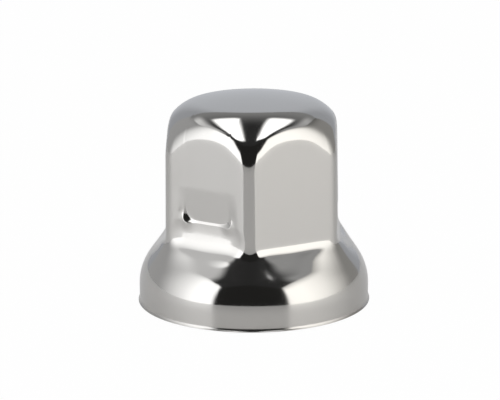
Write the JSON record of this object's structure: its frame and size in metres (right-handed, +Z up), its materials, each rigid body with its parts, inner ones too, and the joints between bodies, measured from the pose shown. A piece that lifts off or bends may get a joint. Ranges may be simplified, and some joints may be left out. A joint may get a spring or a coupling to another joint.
{
  "type": "wheel nut cover",
  "caption": "Push-on sheet-steel cover for a hexagonal wheel nut: domed crown, flat sides with pressed grip dents, and a flared round skirt.",
  "frame": {"origin": "centre of the rim's lower face, which the cover stands on", "axes": "+Z up the cover's axis, from the rim to the crown; -Y towards the corner between two flats that faces the viewer"},
  "size_m": [0.048, 0.048, 0.0428],
  "materials": {
    "polished_steel": "polished"
  },
  "bodies": {
    "root": {"nut_cover": "polished_steel"}
  },
  "joints": []
}
